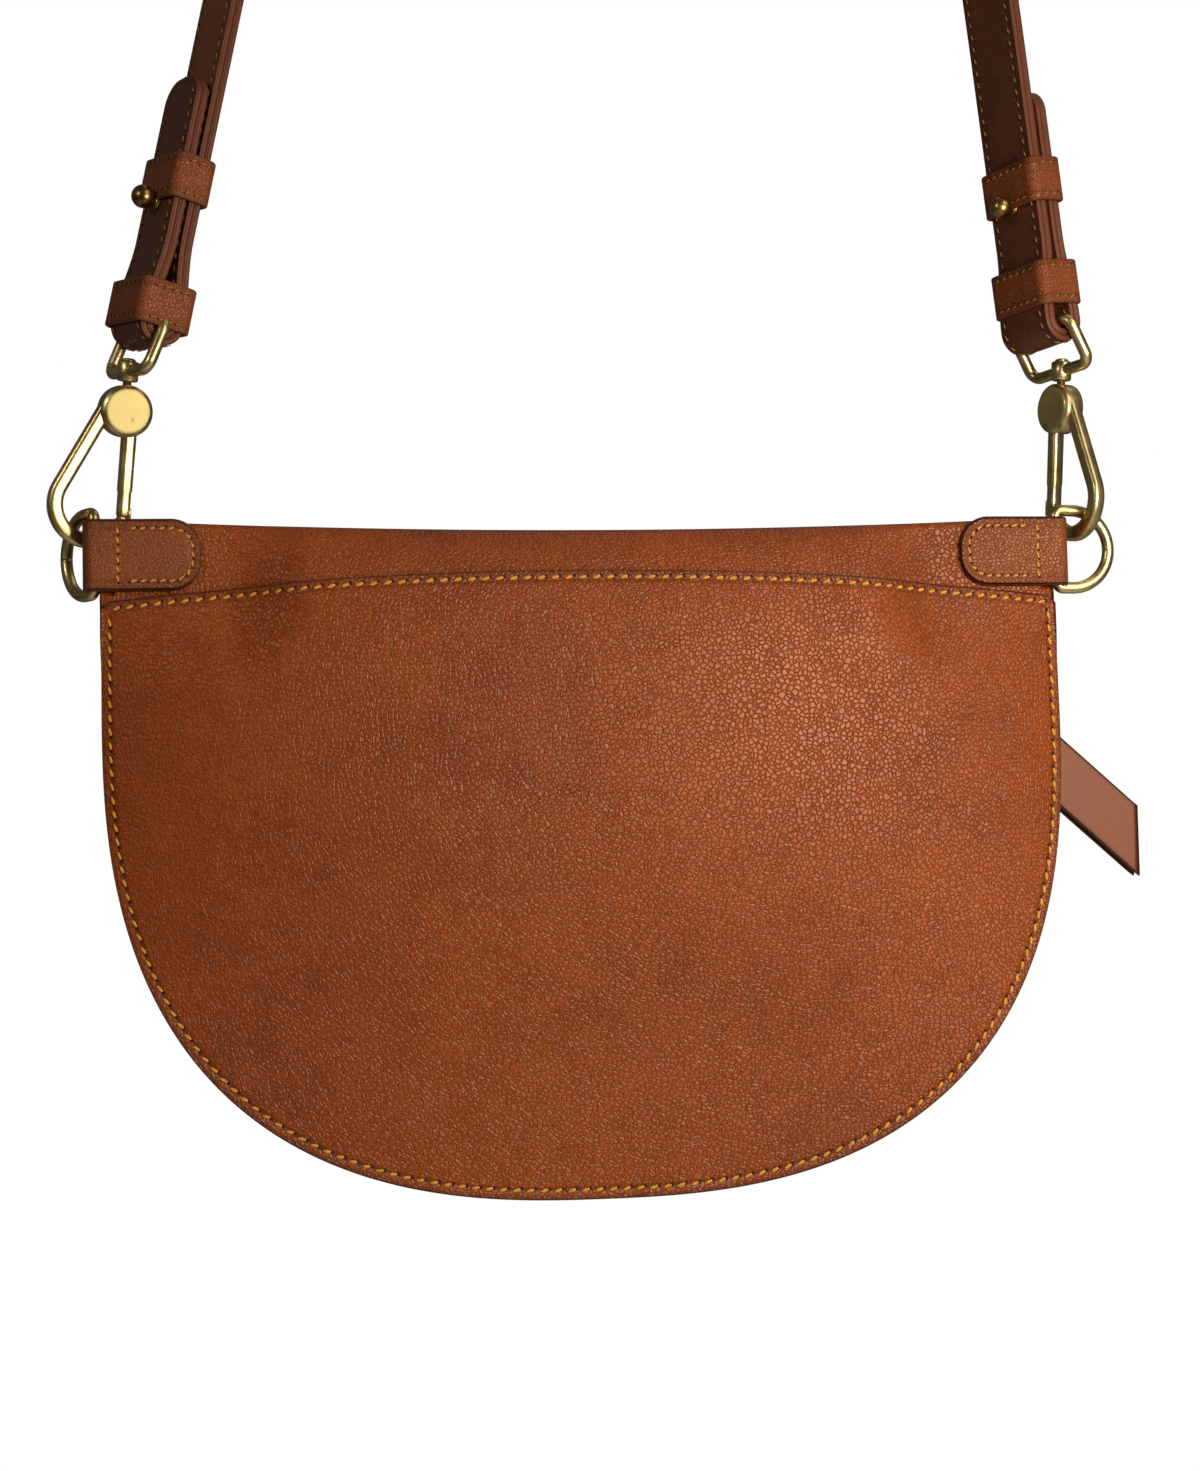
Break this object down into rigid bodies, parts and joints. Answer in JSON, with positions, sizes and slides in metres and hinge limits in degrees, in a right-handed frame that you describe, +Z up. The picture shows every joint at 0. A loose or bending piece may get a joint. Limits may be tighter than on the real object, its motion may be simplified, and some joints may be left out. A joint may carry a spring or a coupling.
{
  "type": "crossbody bag",
  "caption": "Half-moon leather bag with a slip pocket on its back and a zip on its front, hung from a two-ply strap by swivel snap hooks on D-rings.",
  "frame": {"origin": "on the axis of the rail that the strap hangs over, in the middle of the strap's width", "axes": "+Z up, +X to the right seen from the back of the bag, -Y out of the back with the slip pocket"},
  "size_m": [0.3085, 0.0465, 0.7635],
  "materials": {
    "bag_leather": "soft grained tan leather",
    "strap_leather": "smooth tan leather with painted edges",
    "gusset_leather": "soft grained tan leather",
    "lining_cloth": "plain woven lining",
    "zip_cloth": "woven tape",
    "antique_brass": "antique brass with a dark patina"
  },
  "bodies": {
    "strap": {"strap_face_ply": "strap_leather", "strap_lining_ply": "strap_leather", "strap_stud_left": "antique_brass", "strap_stud_right": "antique_brass", "stud_screw_left": "antique_brass", "stud_screw_right": "antique_brass"},
    "bag": {"back_panel": "bag_leather", "pocket_panel": "bag_leather", "front_panel": "bag_leather", "gusset": "gusset_leather", "lining_back": "lining_cloth", "lining_front": "lining_cloth", "zip_tape_upper": "zip_cloth", "zip_tape_lower": "zip_cloth", "zip_teeth_upper": "antique_brass", "zip_teeth_lower": "antique_brass", "zip_top_stop": "antique_brass", "zip_bottom_stop": "antique_brass", "tab_left": "strap_leather", "tab_right": "strap_leather"},
    "slider": {"zip_slider": "antique_brass"},
    "pull_ring": {"zip_pull_ring": "antique_brass"},
    "puller": {"leather_puller": "strap_leather"},
    "keeper_left_lower_loop": {"keeper_left_lower": "strap_leather"},
    "keeper_left_upper_loop": {"keeper_left_upper": "strap_leather"},
    "eye_left": {"hook_eye_left": "antique_brass"},
    "hook_left": {"swivel_rivet_left": "antique_brass", "hook_drum_left": "antique_brass", "hook_bar_left": "antique_brass", "gate_pin_left": "antique_brass", "gate_spring_left": "antique_brass"},
    "gate_left": {"hook_gate_left": "antique_brass"},
    "ring_left": {"dring_left": "antique_brass"},
    "keeper_right_lower_loop": {"keeper_right_lower": "strap_leather"},
    "keeper_right_upper_loop": {"keeper_right_upper": "strap_leather"},
    "eye_right": {"hook_eye_right": "antique_brass"},
    "hook_right": {"swivel_rivet_right": "antique_brass", "hook_drum_right": "antique_brass", "hook_bar_right": "antique_brass", "gate_pin_right": "antique_brass", "gate_spring_right": "antique_brass"},
    "gate_right": {"hook_gate_right": "antique_brass"},
    "ring_right": {"dring_right": "antique_brass"}
  },
  "joints": [
    {"name": "bag_swing", "type": "hinge", "parent": "strap", "child": "bag", "pos_m": [-0.16014, 0.00637, -0.55801], "axis": [0.9998, -0.0197, 0], "range_deg": [-7, 12]},
    {"name": "keeper_left_lower_slide", "type": "slide", "parent": "strap", "child": "keeper_left_lower_loop", "axis": [0.2102, -0.0078, 0.9776], "range_m": [0, 0.008]},
    {"name": "keeper_left_upper_slide", "type": "slide", "parent": "strap", "child": "keeper_left_upper_loop", "axis": [0.2102, -0.0078, 0.9776], "range_m": [0, 0.008]},
    {"name": "eye_left_rock", "type": "hinge", "parent": "strap", "child": "eye_left", "pos_m": [-0.1414, 0.00503, -0.50436], "axis": [0.4942, -0.862, -0.1131], "range_deg": [-0.3, 0.3]},
    {"name": "hook_left_swivel", "type": "hinge", "parent": "eye_left", "child": "hook_left", "pos_m": [-0.14666, 0.00377, -0.51771], "axis": [0.0984, -0.1476, 0.9841], "range_deg": [-1.5, 3]},
    {"name": "gate_left_open", "type": "hinge", "parent": "hook_left", "child": "gate_left", "pos_m": [-0.14648, 0.0063, -0.53096], "axis": [-0.3369, 0.9256, 0.1725], "range_deg": [0, 18], "stiffness_Nm_per_rad": 0.02, "springref_deg": -17.19},
    {"name": "ring_left_turn", "type": "hinge", "parent": "bag", "child": "ring_left", "pos_m": [-0.156, 0, -0.5689], "axis": [0, 0, 1], "range_deg": [-2, 3]},
    {"name": "keeper_right_lower_slide", "type": "slide", "parent": "strap", "child": "keeper_right_lower_loop", "axis": [-0.1093, -0.0119, 0.9939], "range_m": [0, 0.008]},
    {"name": "keeper_right_upper_slide", "type": "slide", "parent": "strap", "child": "keeper_right_upper_loop", "axis": [-0.1093, -0.0119, 0.9939], "range_m": [0, 0.008]},
    {"name": "eye_right_rock", "type": "hinge", "parent": "strap", "child": "eye_right", "pos_m": [0.11472, 0.0037, -0.50327], "axis": [0.3875, -0.9213, 0.0316], "range_deg": [-0.3, 0.3]},
    {"name": "hook_right_swivel", "type": "hinge", "parent": "eye_right", "child": "hook_right", "pos_m": [0.12137, 0.00607, -0.51582], "axis": [0.0298, -0.0995, 0.9946], "range_deg": [-3, 3]},
    {"name": "gate_right_open", "type": "hinge", "parent": "hook_right", "child": "gate_right", "pos_m": [0.12043, 0.00889, -0.52898], "axis": [-0.9397, -0.342, -0.006], "range_deg": [0, 18], "stiffness_Nm_per_rad": 0.02, "springref_deg": -17.19},
    {"name": "ring_right_turn", "type": "hinge", "parent": "bag", "child": "ring_right", "pos_m": [0.116, 0, -0.5689], "axis": [0, 0, 1], "range_deg": [-2, 3]},
    {"name": "zip_slide", "type": "slide", "parent": "bag", "child": "slider", "axis": [1, 0, 0], "range_m": [-0.213, 0]},
    {"name": "pull_ring_turn", "type": "hinge", "parent": "slider", "child": "pull_ring", "pos_m": [0.0865, 0.0215, -0.601], "axis": [0.6691, 0, 0.7431], "range_deg": [0, 110]},
    {"name": "puller_turn", "type": "hinge", "parent": "pull_ring", "child": "puller", "pos_m": [0.09542, 0.0215, -0.60903], "axis": [0.6691, 0, 0.7431], "range_deg": [0, 65]}
  ]
}
